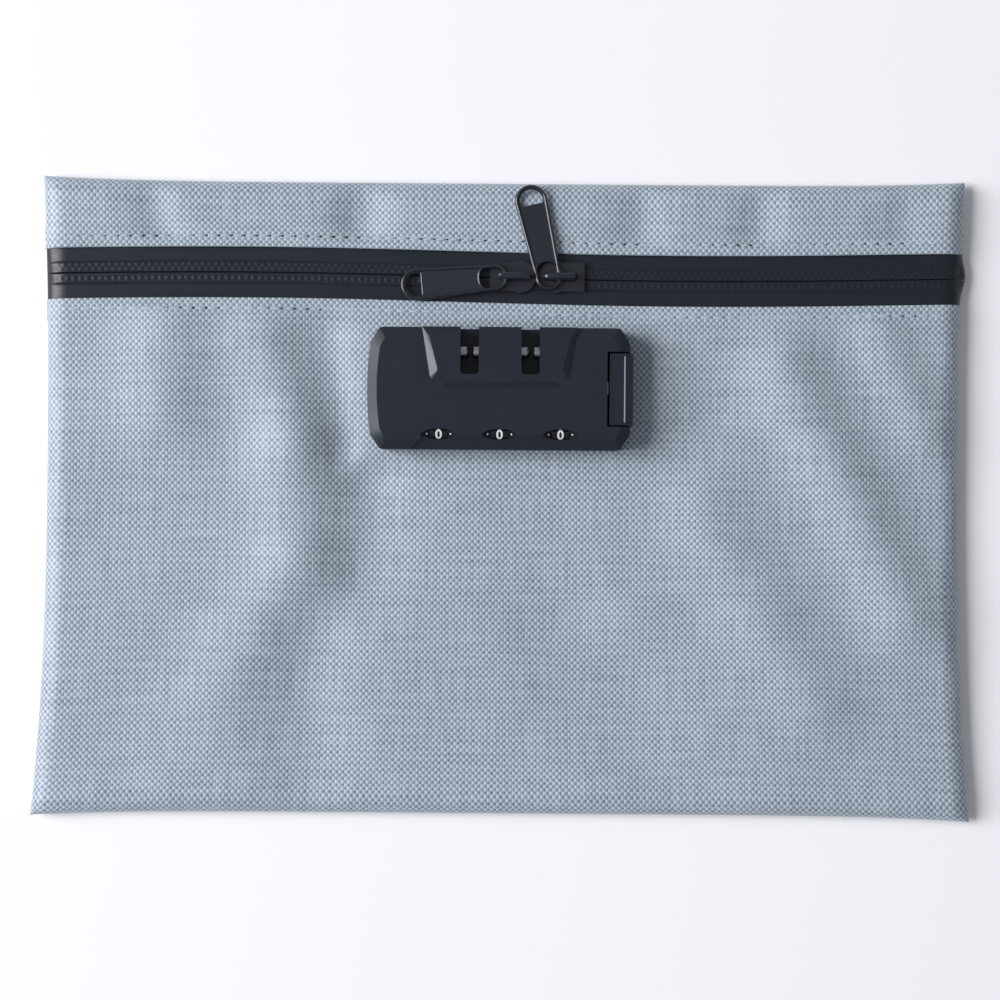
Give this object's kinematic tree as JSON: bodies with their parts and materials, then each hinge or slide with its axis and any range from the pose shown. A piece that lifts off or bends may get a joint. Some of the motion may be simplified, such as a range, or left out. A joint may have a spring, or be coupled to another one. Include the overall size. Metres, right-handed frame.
{
  "type": "cash deposit bag",
  "caption": "Flat lockable fabric pouch with a laminated front zip and a dial combination lock that traps both zip pulls.",
  "frame": {"origin": "centre of the back face, on the surface that the bag lies on", "axes": "+X along the zip towards the release button's end, +Y towards the top edge, +Z out of the front face"},
  "size_m": [0.2834, 0.193, 0.0211],
  "materials": {
    "coated_fabric": "silver-grey plain-woven polyester with a coated inside",
    "binding_tape": "black woven edge tape",
    "zip_film_tape": "black tape laminated with polyurethane film",
    "zip_coil": "black polyester coil",
    "sewing_thread": "light grey bonded thread",
    "slider_alloy": "zinc casting with black stove enamel",
    "lock_moulding": "dark moulded ABS, satin",
    "dial_moulding": "black moulded dials with white printed digits",
    "brass_cam": "turned brass",
    "bright_steel": "bright steel",
    "spring_steel": "spring steel wire and strip"
  },
  "bodies": {
    "pouch": {"back_panel": "coated_fabric", "front_lower_panel": "coated_fabric", "front_upper_panel": "coated_fabric", "seam_binding_left": "binding_tape", "seam_binding_right": "binding_tape", "seam_binding_top": "binding_tape", "seam_binding_bottom": "binding_tape", "zip_tape_upper": "zip_film_tape", "zip_tape_lower": "zip_film_tape", "zip_coil_upper": "zip_coil", "zip_coil_lower": "zip_coil", "topstitch_upper": "sewing_thread", "topstitch_lower": "sewing_thread", "lock_housing": "lock_moulding", "lock_base_plate": "lock_moulding", "lock_inner_plate": "bright_steel", "lock_screws": "bright_steel", "bolt_strikers": "bright_steel", "dial_shaft": "bright_steel", "detent_spring": "spring_steel", "return_spring": "spring_steel"},
    "slider_left": {"zip_slider_left": "slider_alloy"},
    "slider_right": {"zip_slider_right": "slider_alloy"},
    "pull_left": {"zip_pull_left": "slider_alloy"},
    "pull_right": {"zip_pull_right": "slider_alloy"},
    "latch": {"latch_bar": "bright_steel", "latch_bolts": "bright_steel"},
    "button": {"release_button": "lock_moulding"},
    "code_slider": {"code_change_slider": "lock_moulding"},
    "dial_left": {"dial_left": "dial_moulding", "cam_sleeve_left": "brass_cam"},
    "dial_middle": {"dial_middle": "dial_moulding", "cam_sleeve_middle": "brass_cam"},
    "dial_right": {"dial_right": "dial_moulding", "cam_sleeve_right": "brass_cam"}
  },
  "joints": [
    {"name": "slider_left_slide", "type": "slide", "parent": "pouch", "child": "slider_left", "axis": [-1, 0, 0], "range_m": [0, 0.12], "deforming": ["zip_coil_upper", "zip_coil_lower"]},
    {"name": "slider_right_slide", "type": "slide", "parent": "pouch", "child": "slider_right", "axis": [1, 0, 0], "range_m": [0, 0.1], "deforming": ["zip_coil_upper", "zip_coil_lower"]},
    {"name": "pull_left_lift", "type": "hinge", "parent": "slider_left", "child": "pull_left", "pos_m": [0.0007, 0.0665, 0.00985], "axis": [-0.0958, 0.9954, 0], "range_deg": [0, 140]},
    {"name": "pull_right_swivel", "type": "hinge", "parent": "slider_right", "child": "pull_right", "pos_m": [0.01245, 0.0665, 0.00985], "axis": [0, 0, 1], "range_deg": [-50, 0]},
    {"name": "release_button_press", "type": "slide", "parent": "pouch", "child": "button", "axis": [-1, 0, 0], "range_m": [0, 0.0026], "stiffness_N_per_m": 600, "springref_m": -0.001},
    {"name": "latch_slide", "type": "slide", "parent": "pouch", "child": "latch", "axis": [-1, 0, 0], "range_m": [0, 0.0026], "deforming": ["return_spring"]},
    {"name": "code_change_slide", "type": "slide", "parent": "pouch", "child": "code_slider", "axis": [1, 0, 0], "range_m": [0, 0.003]},
    {"name": "dial_left_turn", "type": "hinge", "parent": "pouch", "child": "dial_left", "pos_m": [-0.0189, 0.0203, 0.01465], "axis": [1, 0, 0], "continuous": true},
    {"name": "dial_middle_turn", "type": "hinge", "parent": "pouch", "child": "dial_middle", "pos_m": [-0.0009, 0.0203, 0.01465], "axis": [1, 0, 0], "continuous": true},
    {"name": "dial_right_turn", "type": "hinge", "parent": "pouch", "child": "dial_right", "pos_m": [0.0171, 0.0203, 0.01465], "axis": [1, 0, 0], "continuous": true}
  ],
  "couplings": [
    {"joint": "latch_slide", "follows": "release_button_press", "ratio": 1}
  ]
}
